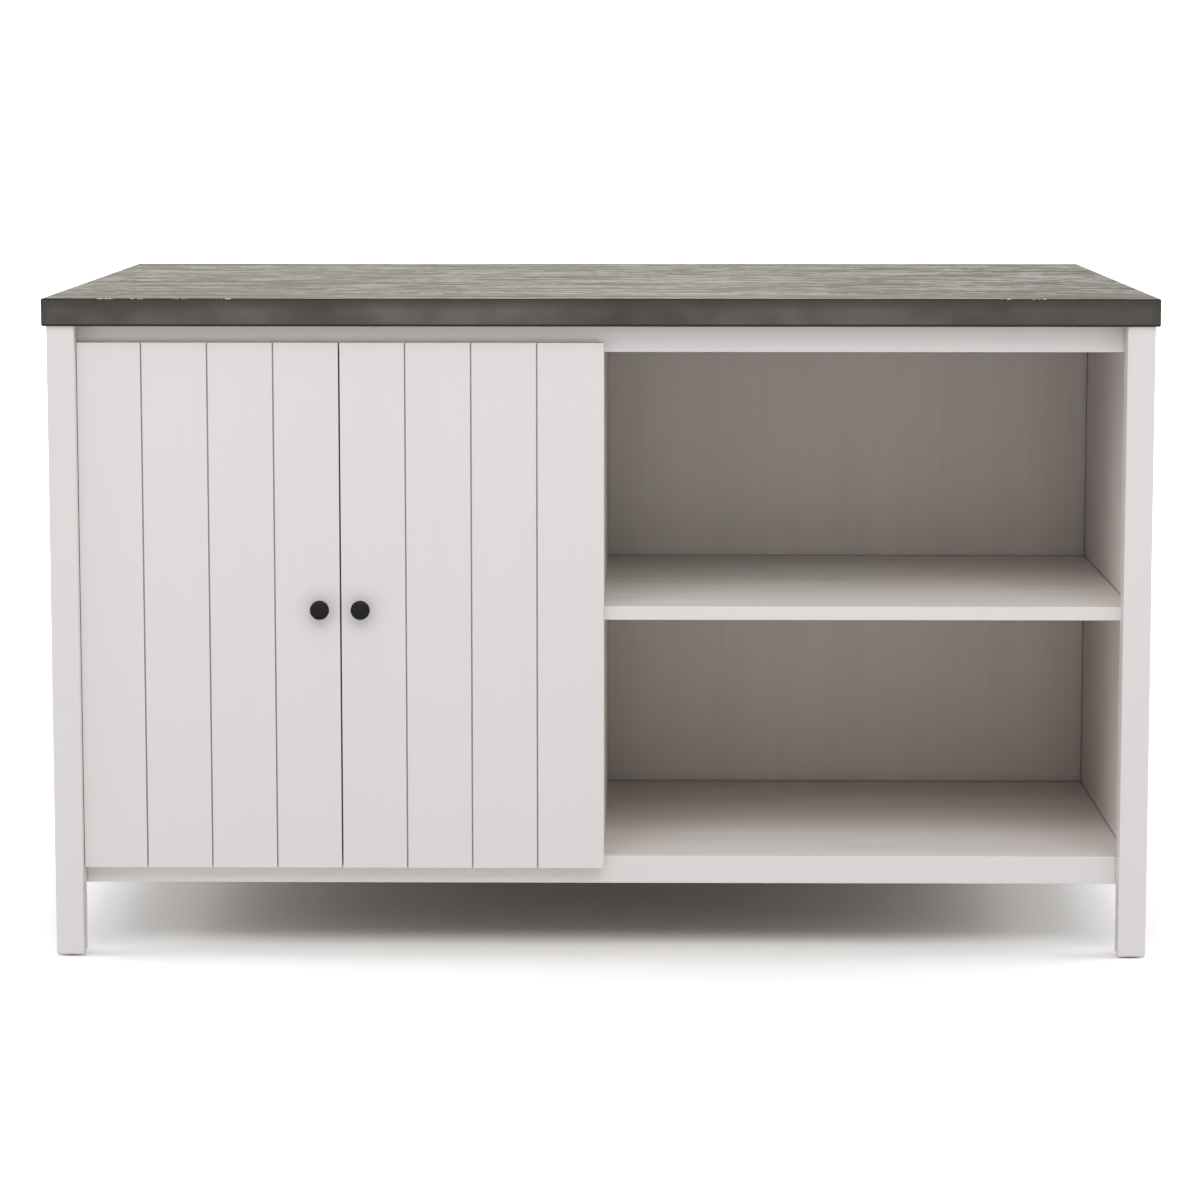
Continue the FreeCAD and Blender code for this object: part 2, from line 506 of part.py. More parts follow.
DOORS = (
    ("left", L_DOOR, [DOOR_MID - k * PLANK for k in (1, 2, 3)], X_AXIS_L, 1),
    ("right", R_DOOR, [DOOR_MID + k * PLANK for k in (1, 2, 3)], X_AXIS_R, -1),
)
for side, (x0, x1), grooves, xa, inward in DOORS:
    name = side + "_door"
    put(name, door(x0, x1, grooves, x0 if inward > 0 else x1))
    free_edge = x1 if inward > 0 else x0

    # knob and its screw
    xk = DOOR_MID - inward * KNOB_IN
    shank = rod((xk, Y_DOOR1, KNOB_Z), (0, -1, 0), 2.0, DOOR_T + 11.0)
    put(side + "_knob", knob(xk).cut(shank))
    put(side + "_knob_screw", pan_screw((xk, Y_DOOR1, KNOB_Z), (0, -1, 0), 2.0, DOOR_T + 11.0, 4.0, 2.4))
    seat(shank, name)

    # concealed pivots: the bracket's nose lies in a slot that opens to the rear and to
    # the hinge edge, and the pin passes through the nose from the door's edge
    hinge_edge = x0 if inward > 0 else x1
    for where, z_edge, up in (("top", DOOR_Z1, 1), ("bottom", DOOR_Z0, -1)):
        z_out = z_edge - up * SLOT_IN                     # outer face of the nose
        z_in = z_out - up * NOSE_T                        # inner face of the nose
        z_floor = z_in - up * SLOT_GAP                    # floor of the slot
        nz = sorted((z_out, z_in))
        nx = sorted((xa - inward * NOSE_ARM[0], xa + inward * NOSE_ARM[1]))
        nose = join(
            box(nx[0], nx[1], Y_AXIS, Y_RAIL + NOSE_T, nz[0], nz[1]),
            rod((xa, Y_AXIS, nz[0]), (0, 0, 1), NOSE_R, NOSE_T),
        )
        tx = sorted((hinge_edge - inward * 1.0, xa + inward * (NOSE_ARM[1] + SLOT_SIDE)))
        tz = sorted((z_floor, z_out + up * SLOT_GAP))
        seat(box(tx[0], tx[1], Y_AXIS - NOSE_R - SLOT_SIDE, Y_DOOR1 + 1, tz[0], tz[1]), name)
        fl_x = sorted((hinge_edge + inward * 0.3, xa + inward * 30.0))
        fl_z = sorted((z_edge, z_edge - up * 12.0))
        flange = box(fl_x[0], fl_x[1], Y_RAIL, Y_RAIL + NOSE_T, fl_z[0], fl_z[1])
        bracket = join(nose, flange)
        rail = "front_%s_rail" % where
        seat(flange, rail)
        pin_len = SLOT_IN - 0.8 + NOSE_T + SLOT_GAP + 11.9
        pin = rod((xa, Y_AXIS, z_edge - up * 0.8), (0, 0, -up), PIN_R, pin_len)
        bracket = bracket.cut(pin)
        zs = (fl_z[0] + fl_z[1]) / 2
        for k in (11.0, 23.0):
            p = (xa + inward * k, Y_RAIL, zs)
            hole = flat_screw_hole(p, (0, 1, 0), 1.5, 15.0, 2.9, 1.5)
            bracket = bracket.cut(hole)
            seat(hole, rail)
            put("pivot_bracket_screws", flat_screw(p, (0, 1, 0), 1.5, 15.0, 2.9, 1.5))
        put("%s_door_%s_pivot_bracket" % (side, where), bracket)
        put("pivot_pins", pin)
        # bush in the floor of the slot, with a thin flange towards the nose, and a
        # clear hole in the cover, through which the pin is driven
        bore = rod((xa, Y_AXIS, z_floor), (0, 0, -up), BUSH_R, 13.0)
        seat(bore, name)
        seat(rod((xa, Y_AXIS, z_edge + up * 1.0), (0, 0, -up), PIN_R + 0.12, SLOT_IN + 1.0), name)
        bush = join(bore, rod((xa, Y_AXIS, z_floor), (0, 0, up), BUSH_FLANGE_R, SLOT_GAP - 0.1))
        hole = rod((xa, Y_AXIS, z_floor + up * 1.0), (0, 0, -up), BUSH_BORE_R, 20.0)
        put("%s_door_pivot_bushes" % side, bush.cut(hole))

    # magnetic catch under the upper rail, strike plate on the door
    xc = DOOR_MID - inward * 45.0
    body = box(xc - 24, xc + 24, Y_RAIL - 0.4, Y_RAIL + 15.6, TOP_RAIL_Z - 13, TOP_RAIL_Z)
    magnet = box(xc - 14, xc + 14, Y_RAIL - 0.4, Y_RAIL + 7.6, TOP_RAIL_Z - 10.5, TOP_RAIL_Z - 3.5)
    body = body.cut(magnet)
    put("catch_magnets", magnet)
    for k in (-19.0, 19.0):
        p = (xc + k, Y_RAIL + 9.0, TOP_RAIL_Z - 10.4)
        head_seat = rod((p[0], p[1], TOP_RAIL_Z - 13.5), (0, 0, 1), 3.4, 3.1)
        hole = pan_screw_hole(p, (0, 0, 1), 1.75, 24.0)
        body = body.cut(head_seat).cut(hole)
        seat(hole, "front_top_rail")
        put("catch_screws", pan_screw(p, (0, 0, 1), 1.75, 24.0, 3.3, 2.2))
    put("%s_door_catch" % side, body)
    strike = box(xc - 18, xc + 18, Y_DOOR1, Y_DOOR1 + 1.2, TOP_RAIL_Z - 12.5, TOP_RAIL_Z - 1.5)
    for k in (-11.0, 11.0):
        p = (xc + k, Y_DOOR1 + 1.2, TOP_RAIL_Z - 7.0)
        hole = flat_screw_hole(p, (0, -1, 0), 1.4, 12.0, 2.5, 1.1)
        strike = strike.cut(hole)
        seat(hole, name)
        put("%s_strike_screws" % side, flat_screw(p, (0, -1, 0), 1.4, 12.0, 2.5, 1.1))
    put("%s_strike_plate" % side, strike)

    # soft bumpers at the free corners
    xb = free_edge - inward * 12.0
    for z in (846.0, 129.5):
        b = rod((xb, Y_DOOR1, z), (0, 1, 0), 4.0, 1.8)
        rim = [e for e in b.Edges if e.BoundBox.YMin > Y_DOOR1 + 1.7]
        put("%s_door_bumpers" % side, b.makeFillet(0.8, rim))

# ---------------------------------------------------------------- write the pieces
os.makedirs("parts", exist_ok=True)
for name, shapes in parts.items():
    sol = []
    for s in shapes:
        sol.extend(s.Solids)
    for s in sol:
        if not s.isValid() or s.Volume <= 0:
            raise ValueError("bad solid in " + name)
    shape = sol[0] if len(sol) == 1 else Part.makeCompound(sol)
    shape.exportStep(os.path.join("parts", name + ".step"))
    b = shape.BoundBox
    print("%-34s %2d solid(s) x %8.1f %8.1f y %8.1f %8.1f z %7.1f %7.1f" % (
        name, len(sol), b.XMin, b.XMax, b.YMin, b.YMax, b.ZMin, b.ZMax))
print(len(parts), "nodes; axes: left x %.1f, right x %.1f, y %.1f" % (X_AXIS_L, X_AXIS_R, Y_AXIS))
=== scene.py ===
import json
import math

import bpy
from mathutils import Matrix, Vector


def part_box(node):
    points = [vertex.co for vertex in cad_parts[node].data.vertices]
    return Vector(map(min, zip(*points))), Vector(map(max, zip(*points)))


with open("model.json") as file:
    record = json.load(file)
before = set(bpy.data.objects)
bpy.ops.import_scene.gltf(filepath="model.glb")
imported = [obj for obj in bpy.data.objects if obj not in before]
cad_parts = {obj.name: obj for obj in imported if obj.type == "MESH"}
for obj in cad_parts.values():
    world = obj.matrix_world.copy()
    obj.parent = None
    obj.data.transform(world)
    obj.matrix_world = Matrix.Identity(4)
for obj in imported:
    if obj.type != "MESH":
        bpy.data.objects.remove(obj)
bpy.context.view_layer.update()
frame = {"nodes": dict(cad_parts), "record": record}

nodes = frame["nodes"]
scene = bpy.context.scene


# ---------------------------------------------------------------- node helpers
class Mat:
    """One procedural material: object coordinates in, one Principled shader out."""

    def __init__(self, name):
        self.m = bpy.data.materials.new(name)
        self.m.use_nodes = True
        self.t = self.m.node_tree
        self.t.nodes.clear()
        self.out = self.t.nodes.new("ShaderNodeOutputMaterial")
        self.b = self.t.nodes.new("ShaderNodeBsdfPrincipled")
        self.t.links.new(self.b.outputs[0], self.out.inputs[0])
        self.co = self.t.nodes.new("ShaderNodeTexCoord").outputs["Object"]

    def set(self, **kw):
        for k, v in kw.items():
            self.b.inputs[k.replace("_", " ")].default_value = v

    def put(self, socket, value):
        self.t.links.new(value, self.b.inputs[socket])

    def scaled(self, sx, sy, sz, off=(0, 0, 0), vec=None):
        n = self.t.nodes.new("ShaderNodeMapping")
        n.inputs["Scale"].default_value = (sx, sy, sz)
        n.inputs["Location"].default_value = off
        self.t.links.new(vec or self.co, n.inputs["Vector"])
        return n.outputs[0]

    def noise(self, vec, scale=1.0, detail=2.0, rough=0.5, distort=0.0):
        n = self.t.nodes.new("ShaderNodeTexNoise")
        n.inputs["Scale"].default_value = scale
        n.inputs["Detail"].default_value = detail
        n.inputs["Roughness"].default_value = rough
        n.inputs["Distortion"].default_value = distort
        self.t.links.new(vec, n.inputs["Vector"])
        return n.outputs[0]

    def wave(self, vec, scale, distort, detail=2.0, dscale=1.0, axis="Y"):
        n = self.t.nodes.new("ShaderNodeTexWave")
        n.wave_type = "BANDS"
        n.bands_direction = axis
        n.inputs["Scale"].default_value = scale
        n.inputs["Distortion"].default_value = distort
        n.inputs["Detail"].default_value = detail
        n.inputs["Detail Scale"].default_value = dscale
        self.t.links.new(vec, n.inputs["Vector"])
        return n.outputs["Fac"]

    def ramp(self, fac, stops, ease=False):
        n = self.t.nodes.new("ShaderNodeValToRGB")
        if ease:
            n.color_ramp.interpolation = "EASE"
        e = n.color_ramp.elements
        while len(e) < len(stops):
            e.new(0.5)
        for el, (p, c) in zip(e, stops):
            el.position = p
            el.color = (*c, 1.0) if len(c) == 3 else c
        self.t.links.new(fac, n.inputs[0])
        return n.outputs[0]

    def span(self, value, a, b, lo=0.0, hi=1.0, smooth=True):
        n = self.t.nodes.new("ShaderNodeMapRange")
        n.interpolation_type = "SMOOTHSTEP" if smooth else "LINEAR"
        n.inputs["From Min"].default_value = a
        n.inputs["From Max"].default_value = b
        n.inputs["To Min"].default_value = lo
        n.inputs["To Max"].default_value = hi
        self.t.links.new(value, n.inputs["Value"])
        return n.outputs[0]

    def math(self, op, a, b=None):
        n = self.t.nodes.new("ShaderNodeMath")
        n.operation = op
        for i, v in enumerate((a, b)):
            if v is None:
                continue
            if isinstance(v, (int, float)):
                n.inputs[i].default_value = v
            else:
                self.t.links.new(v, n.inputs[i])
        return n.outputs[0]

    def mix(self, fac, a, b, mode="MIX"):
        n = self.t.nodes.new("ShaderNodeMix")
        n.data_type = "RGBA"
        n.blend_type = mode
        n.clamp_factor = True
        for sock, v in ((n.inputs[0], fac), (n.inputs[6], a), (n.inputs[7], b)):
            if isinstance(v, (int, float)):
                sock.default_value = v
            elif isinstance(v, tuple):
                sock.default_value = (*v, 1.0)
            else:
                self.t.links.new(v, sock)
        return n.outputs[2]

    def axis(self, which, source="Object"):
        if source == "Object":
            vec = self.co
        else:
            vec = self.t.nodes.new("ShaderNodeNewGeometry").outputs[source]
        n = self.t.nodes.new("ShaderNodeSeparateXYZ")
        self.t.links.new(vec, n.inputs[0])
        return n.outputs["XYZ".index(which)]

    def bump(self, height, strength, distance, onto=None):
        n = self.t.nodes.new("ShaderNodeBump")
        n.inputs["Strength"].default_value = strength
        n.inputs["Distance"].default_value = distance
        self.t.links.new(height, n.inputs["Height"])
        if onto is not None:
            self.t.links.new(onto, n.inputs["Normal"])
        return n.outputs[0]


def along(axis, fine, coarse):
    """Mapping scales for a figure that runs along one axis."""
    return tuple(coarse if a == axis else fine for a in "XYZ")


# ---------------------------------------------------------------- materials
top_lo, top_hi = (c[2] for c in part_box("table_top"))


def oak_top():
    m = Mat("grey_oak_board")
    nz = m.axis("Z", "Normal")
    up = m.span(nz, 0.985, 0.999)

    # upper face: growth rings, long streaks in the stain, fine grain lines and pores
    broad = m.noise(m.scaled(8.0, 30, 30), detail=3.0, rough=0.58, distort=0.5)
    streaks = m.noise(m.scaled(2.6, 84, 84, off=(2.2, 0.7, 0)), detail=3.0, rough=0.6)
    figure = m.wave(m.scaled(0.55, 9.0, 9.0, off=(0.4, 0.2, 0)), 1.0, 9.0, 3.0, 0.7)
    lines = m.noise(m.scaled(1.8, 260, 260), detail=4.0, rough=0.62)
    pores = m.noise(m.scaled(26, 900, 900), detail=2.0, rough=0.5)
    warmth = m.noise(m.scaled(6.0, 17, 17, off=(3.1, 1.7, 0)), detail=2.0)
    chill = m.noise(m.scaled(5.0, 15, 15, off=(8.4, 3.9, 0)), detail=2.0)
    tone = m.math("ADD", m.math("MULTIPLY", broad, 0.18), m.math("MULTIPLY", streaks, 0.40))
    tone = m.math("ADD", tone, m.math("MULTIPLY", figure, 0.12))
    tone = m.math("ADD", tone, m.math("MULTIPLY", lines, 0.30))
    face = m.ramp(tone, [(0.38, (0.062, 0.054, 0.041)), (0.50, (0.150, 0.136, 0.106)),
                         (0.62, (0.260, 0.240, 0.196))])
    face = m.mix(m.span(warmth, 0.46, 0.64, 0.0, 0.9), face,
                 m.mix(1.0, face, (1.03, 0.965, 0.90), "MULTIPLY"))
    face = m.mix(m.span(chill, 0.50, 0.68, 0.0, 0.9), face,
                 m.mix(1.0, face, (0.975, 1.00, 1.02), "MULTIPLY"))
    far = m.axis("X")
    face = m.mix(m.span(far, 0.10, 0.75), face, m.mix(1.0, face, (0.77, 0.76, 0.74), "MULTIPLY"))
    face = m.mix(m.span(pores, 0.60, 0.70, 0.0, 0.45), face, (0.040, 0.034, 0.026))
    # thin dark and pale streaks, and a finish that is duller in some patches than in others
    dark = m.span(m.noise(m.scaled(3.4, 92, 92, off=(3.3, 5.2, 0)), detail=2.0, rough=0.5, distort=0.3), 0.58, 0.70)
    pale = m.span(m.noise(m.scaled(3.0, 96, 96, off=(6.1, 2.6, 0)), detail=2.0, rough=0.5, distort=0.3), 0.60, 0.72)
    face = m.mix(m.math("MULTIPLY", dark, 0.55), face, (0.040, 0.032, 0.021))
    face = m.mix(m.math("MULTIPLY", pale, 0.32), face, (0.38, 0.345, 0.275))
    gloss = None
    for sx, sy, share in ((3.8, 30, 0.25), (9.0, 33, 0.30), (22.0, 35, 0.27), (56.0, 36, 0.18)):
        part = m.math("MULTIPLY", m.noise(m.scaled(sx, sy, sy, off=(0.7 + sx, 4.4, 0)), detail=1.0, rough=0.5), share)
        gloss = part if gloss is None else m.math("ADD", gloss, part)

    # edges: smoother and darker, soft olive, brown and mauve clouds
    cloud = m.noise(m.scaled(10.0, 10.0, 13.0), detail=2.0, rough=0.5)
    hue = m.noise(m.scaled(4.2, 4.2, 9.0, off=(5.0, 2.0, 1.0)), detail=2.0)
    cool = m.noise(m.scaled(4.8, 4.8, 9.0, off=(1.0, 6.0, 3.0)), detail=2.0)
    streak = m.noise(m.scaled(9, 9, 420), detail=3.0, rough=0.6)
    side = m.ramp(cloud, [(0.32, (0.018, 0.0155, 0.0120)), (0.50, (0.0360, 0.0320, 0.0258)),
                          (0.68, (0.058, 0.0525, 0.0440))])
    side = m.mix(m.span(hue, 0.44, 0.62, 0.0, 1.0), side, m.mix(1.0, side, (1.03, 0.97, 0.87), "MULTIPLY"))
    side = m.mix(m.span(cool, 0.46, 0.64, 0.0, 1.0), side, m.mix(1.0, side, (1.01, 0.98, 1.03), "MULTIPLY"))
    side = m.mix(m.span(streak, 0.52, 0.75, 0.0, 0.22), side, (0.026, 0.023, 0.018))
    long_edge = m.span(m.math("ABSOLUTE", m.axis("Y", "Normal")), 0.4, 0.8)
    side = m.mix(m.math("MULTIPLY", long_edge, m.span(far, 0.18, 0.70)), side,
                 m.mix(1.0, side, (0.54, 0.52, 0.50), "MULTIPLY"))
    side = m.mix(m.math("MULTIPLY", long_edge, m.span(far, -0.42, -0.62)), side,
                 m.mix(1.0, side, (0.90, 0.89, 0.87), "MULTIPLY"))
    side = m.mix(m.span(long_edge, 1.0, 0.0, 0.0, 0.55), side, (0.0335, 0.0298, 0.0240))
    tip_x = m.math("MULTIPLY", long_edge, m.span(m.math("ABSOLUTE", far), 0.744, 0.760))
    tip_y = m.math("MULTIPLY", m.span(long_edge, 1.0, 0.0), m.span(m.math("ABSOLUTE", m.axis("Y")), 0.515, 0.531))
    tip = m.math("MAXIMUM", tip_x, tip_y)
    side = m.mix(m.math("MULTIPLY", tip, 0.7), side, (0.012, 0.0100, 0.0060))
    # the edge darkens towards its top arris; the down-facing lower arris carries a painted shade line
    high = m.axis("Z")
    lower_arris_shade = m.math("MULTIPLY", m.span(high, top_lo + 0.0046, top_lo + 0.0024, 0.0, 0.95),
                  m.span(nz, 0.2, 0.0))
    side = m.mix(m.span(high, top_hi - 0.0170, top_hi - 0.0040, 0.0, 0.80, smooth=False), side, (0.010, 0.0080, 0.0050))
    side = m.mix(lower_arris_shade, side, (0.004, 0.0032, 0.0025))

    # arris: stain rubbed through to pale wood in short runs of specks
    rim = m.math("MULTIPLY", m.span(nz, 0.55, 0.75), m.span(nz, 0.999, 0.99))
    rub = m.noise(m.scaled(300, 300, 300), detail=2.0, rough=0.6)
    run = None
    for x, half in ((-0.674, 0.010), (-0.631, 0.009), (-0.573, 0.008), (-0.509, 0.005), (0.551, 0.006), (0.596, 0.008)):
        near = m.span(m.math("ABSOLUTE", m.math("SUBTRACT", far, x)), half + 0.003, half)
        run = near if run is None else m.math("MAXIMUM", run, near)
    worn = m.math("MULTIPLY", rim, m.math("MULTIPLY", m.span(rub, 0.50, 0.58), run))
    col = m.mix(up, side, face)
    col = m.mix(m.math("MULTIPLY", worn, 0.85), col, (0.52, 0.50, 0.46))
    under = m.span(nz, -0.75, -0.95)
    board = m.noise(m.scaled(14, 160, 160), detail=3.0)
    col = m.mix(under, col, m.ramp(board, [(0.35, (0.055, 0.048, 0.038)), (0.65, (0.085, 0.075, 0.060))]))
    m.put("Base Color", col)
    dull = m.span(gloss, 0.453, 0.540, 0.98, 0.34, smooth=False)
    dull = m.math("MINIMUM", m.math("ADD", dull, m.math("MULTIPLY", dark, 0.45)), 0.98)
    # a duller strip lies a hand's breadth behind the front arris
    strip = m.span(m.math("ABSOLUTE", m.math("ADD", m.axis("Y"), 0.466)), 0.052, 0.026, 0.0, 0.22)
    dull = m.math("MINIMUM", m.math("ADD", dull, strip), 0.98)
    bent = m.span(m.math("ABSOLUTE", nz), 0.04, 0.25, 0.55, 1.0)
    m.put("Roughness", m.math("ADD", m.math("MULTIPLY", up, dull), m.math("MULTIPLY", m.span(up, 1.0, 0.0), bent)))
    m.set(Specular_IOR_Level=0.4)
    rough = m.math("ADD", m.math("MULTIPLY", lines, 1.0), m.math("MULTIPLY", pores, 0.6))
    m.put("Normal", m.bump(rough, 0.16, 0.0006))
    return m.m


OUTSIDE = (0.622, 0.592, 0.584)
door_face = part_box("left_door")[0][1]


def paint(name, axis, tone=OUTSIDE, grain=0.4, off=(0, 0, 0), raw=False, dim=(), outward=None, grooves=(), knob=None, seam=()):
    """Satin paint over wood: a faint grain shows through along one axis. A raw underside stays bare board.

    Each entry of dim is (axis, middle, inner, outer, amount): painted shade darkens the paint with the distance
    from the plane at middle, by amount where inner is reached and not at all at outer; a negative amount paints light.
    Four more values confine it along a second axis. Entries of seam do the same on the outside too.
    outward is (axis, sign): the faces that look that way carry the tone of the outside.
    grooves are the places of a door's plank grooves, knob the place of its knob: the grooves carry painted shade and
    the knob a painted shadow around it.
    """
    m = Mat(name)
    lines = m.noise(m.scaled(*along(axis, 170, 3.5), off=off), detail=4.0, rough=0.6)
    broad = m.noise(m.scaled(*along(axis, 22, 2.2), off=off), detail=2.0)
    hazy = m.noise(m.scaled(3.1, 3.1, 3.1, off=(off[0] + 2.0, off[1], off[2])), detail=2.0)
    peel = m.noise(m.scaled(420, 420, 420), detail=1.0)
    v = m.math("ADD", m.math("MULTIPLY", lines, 0.55), m.math("MULTIPLY", broad, 0.45))
    k = 0.022 * grain
    dark = tuple(c * (1.0 - 1.6 * k) for c in tone)
    lite = tuple(min(1.0, c * (1.0 + k)) for c in tone)
    col = m.ramp(v, [(0.36, dark), (0.50, tone), (0.66, lite)])
    col = m.mix(m.span(hazy, 0.40, 0.68, 0.0, 1.0), col, m.mix(1.0, col, (0.992, 0.984, 0.976), "MULTIPLY"))

    # painted shade near each listed plane; a negative amount paints light
    def painted_shading(col, places):
        for which, middle, inner, outer, amount, *also in places:
            away = m.math("ABSOLUTE", m.math("SUBTRACT", m.axis(which), middle))
            near = m.span(away, outer, inner)
            if also:
                away = m.math("ABSOLUTE", m.math("SUBTRACT", m.axis(also[0]), also[1]))
                near = m.math("MULTIPLY", near, m.span(away, also[3], also[2]))
            if not isinstance(amount, tuple):
                amount = (0.94 * amount, amount, 1.02 * amount)
            col = m.mix(near, col, m.mix(1.0, col, tuple(1.0 - a for a in amount), "MULTIPLY"))
        return col

    col = painted_shading(col, dim)
    # painted shade in the front part of each plank groove
    if grooves:
        deep = m.span(m.axis("Y"), door_face + 0.0004, door_face + 0.0016)
        deep = m.math("MULTIPLY", deep, m.span(m.axis("Y"), door_face + 0.0085, door_face + 0.0075))
        for x in grooves:
            away = m.math("ABSOLUTE", m.math("SUBTRACT", m.axis("X"), x))
            col = m.mix(m.math("MULTIPLY", deep, m.span(away, 0.0018, 0.0014)), col,
                        m.mix(1.0, col, (0.88, 0.87, 0.86), "MULTIPLY"))
    # a painted shadow in a soft ring around the knob
    if knob:
        dx = m.math("SUBTRACT", m.axis("X"), knob[0])
        dz = m.math("SUBTRACT", m.axis("Z"), knob[1])
        away = m.math("SQRT", m.math("ADD", m.math("MULTIPLY", dx, dx), m.math("MULTIPLY", dz, dz)))
        col = m.mix(m.span(away, 0.042, 0.010), col, m.mix(1.0, col, (0.77, 0.765, 0.76), "MULTIPLY"))
    if outward:
        which, sign = outward
        skin = m.ramp(v, [(0.36, tuple(c * 0.986 for c in OUTSIDE)), (0.50, OUTSIDE),
                          (0.66, tuple(c * 1.009 for c in OUTSIDE))])
        col = m.mix(m.span(m.axis(which, "Normal"), 0.4 * sign, 0.8 * sign), col, skin)
    col = painted_shading(col, seam)
    if raw:
        fibre = m.noise(m.scaled(90, 90, 90), detail=4.0, rough=0.7)
        bare = m.ramp(fibre, [(0.35, (0.135, 0.098, 0.064)), (0.65, (0.190, 0.142, 0.098))])
        col = m.mix(m.span(m.axis("Z", "Normal"), -0.6, -0.9), col, bare)
    m.put("Base Color", col)
    m.put("Roughness", m.span(m.math("ADD", lines, peel), 0.70, 1.30, 0.40, 0.52))
    m.set(Specular_IOR_Level=0.4)
    h = m.math("ADD", lines, m.math("MULTIPLY", peel, 0.25))
    m.put("Normal", m.bump(h, 0.10 * grain, 0.0005))
    return m.m


def black_metal():
    m = Mat("knob_black")
    speck = m.noise(m.scaled(900, 900, 900), detail=2.0)
    cloud = m.noise(m.scaled(60, 60, 60), detail=3.0)
    m.put("Base Color", m.ramp(cloud, [(0.35, (0.0040, 0.0042, 0.0038)), (0.65, (0.0075, 0.0077, 0.0070))]))
    m.put("Roughness", m.span(speck, 0.3, 0.7, 0.40, 0.54))
    m.set(Specular_IOR_Level=0.12)
    m.put("Normal", m.bump(speck, 0.12, 0.0002))
    return m.m


def zinc():
    m = Mat("zinc_plate")
    flow = m.noise(m.scaled(120, 120, 120), detail=3.0, rough=0.6)
    brush = m.noise(m.scaled(900, 900, 140), detail=2.0)
    m.put("Base Color", m.ramp(flow, [(0.30, (0.46, 0.46, 0.45)), (0.55, (0.60, 0.60, 0.59)), (0.75, (0.68, 0.67, 0.64))]))
    m.put("Roughness", m.span(brush, 0.3, 0.7, 0.28, 0.44))
    m.set(Metallic=1.0)
    m.put("Normal", m.bump(brush, 0.08, 0.0002))
    return m.m


def beech(name, axis):
    m = Mat(name)
    lines = m.noise(m.scaled(*along(axis, 190, 6)), detail=4.0, rough=0.6)
    fleck = m.noise(m.scaled(*along(axis, 620, 110)), detail=1.0)
    col = m.ramp(lines, [(0.32, (0.40, 0.265, 0.150)), (0.52, (0.52, 0.370, 0.225)), (0.72, (0.60, 0.450, 0.290))])
    col = m.mix(m.span(fleck, 0.60, 0.70, 0.0, 0.5), col, (0.30, 0.175, 0.090))
    m.put("Base Color", col)
    m.put("Roughness", m.span(lines, 0.3, 0.7, 0.55, 0.70))
    m.put("Normal", m.bump(lines, 0.14, 0.0006))
    return m.m


def moulded(name, dark, lite, lo, hi):
    m = Mat(name)
    grit = m.noise(m.scaled(700, 700, 700), detail=2.0)
    cloud = m.noise(m.scaled(40, 40, 40), detail=2.0)
    m.put("Base Color", m.ramp(cloud, [(0.35, dark), (0.65, lite)]))
    m.put("Roughness", m.span(grit, 0.3, 0.7, lo, hi))
    m.put("Normal", m.bump(grit, 0.10, 0.0002))
    return m.m


def powder(name):
    m = Mat(name)
    orange = m.noise(m.scaled(800, 800, 800), detail=2.0)
    cloud = m.noise(m.scaled(30, 30, 30), detail=2.0)
    m.put("Base Color", m.ramp(cloud, [(0.35, (0.62, 0.60, 0.585)), (0.65, (0.66, 0.64, 0.625))]))
    m.put("Roughness", m.span(orange, 0.3, 0.7, 0.38, 0.50))
    m.put("Normal", m.bump(orange, 0.10, 0.0002))
    return m.m


def rubber():
    m = Mat("milky_rubber")
    cloud = m.noise(m.scaled(90, 90, 90), detail=2.0)
    m.put("Base Color", m.ramp(cloud, [(0.35, (0.60, 0.60, 0.575)), (0.65, (0.70, 0.70, 0.67))]))
    m.put("Roughness", m.span(cloud, 0.3, 0.7, 0.30, 0.42))
    m.set(Subsurface_Weight=0.25, Subsurface_Radius=(0.002, 0.002, 0.002))
    return m.m


# a darker, pinker copy of the white paint for the inside boards: painted shade with a warm cast
INSIDE = (0.610, 0.556, 0.530)


def shade(k):
    return tuple(round(c * k, 4) for c in INSIDE)


apron_lo, apron_hi = (c[1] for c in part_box("left_side_apron"))
# painted warm bounce light: the paint turns slightly redder towards the floor
PAINTED_BOUNCE_WARMTH = ("Z", 0.0, 0.14, 0.52, (-0.016, 0.004, 0.002))
rail_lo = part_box("front_top_rail")[0][2]
shelf_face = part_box("right_fixed_shelf")[0][1]
door_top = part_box("left_door")[1][2]

